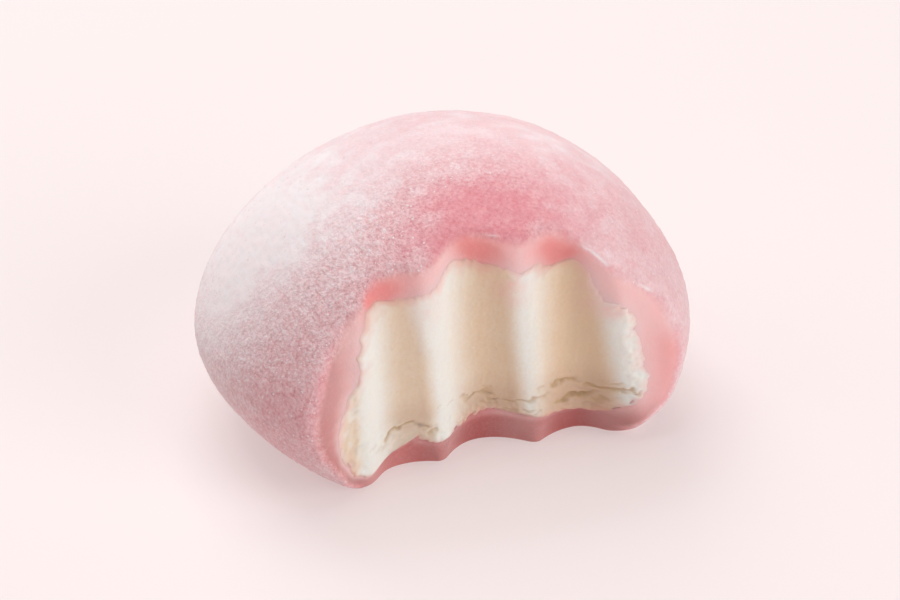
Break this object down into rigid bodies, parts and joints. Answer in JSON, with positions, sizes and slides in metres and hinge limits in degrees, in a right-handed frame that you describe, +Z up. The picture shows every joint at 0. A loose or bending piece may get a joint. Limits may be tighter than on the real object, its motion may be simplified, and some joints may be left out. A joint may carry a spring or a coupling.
{
  "type": "mochi rice cake",
  "caption": "Soft pink rice-dough ball dusted with starch, bitten open at the front to show its pale cream filling.",
  "frame": {"origin": "on the surface it rests on, under the middle of the bounding box of what the bite leaves", "axes": "+X to the right along the bitten front, +Y away from the bite towards the whole back, +Z up"},
  "size_m": [0.046, 0.0378, 0.0278],
  "materials": {
    "rice_dough": "soft translucent pink dough, matt with starch outside and smooth where it is bitten",
    "cream": "firm off-white frozen cream with tooth marks, satin"
  },
  "bodies": {
    "root": {"mochi_skin": "rice_dough", "cream_filling": "cream"}
  },
  "joints": []
}
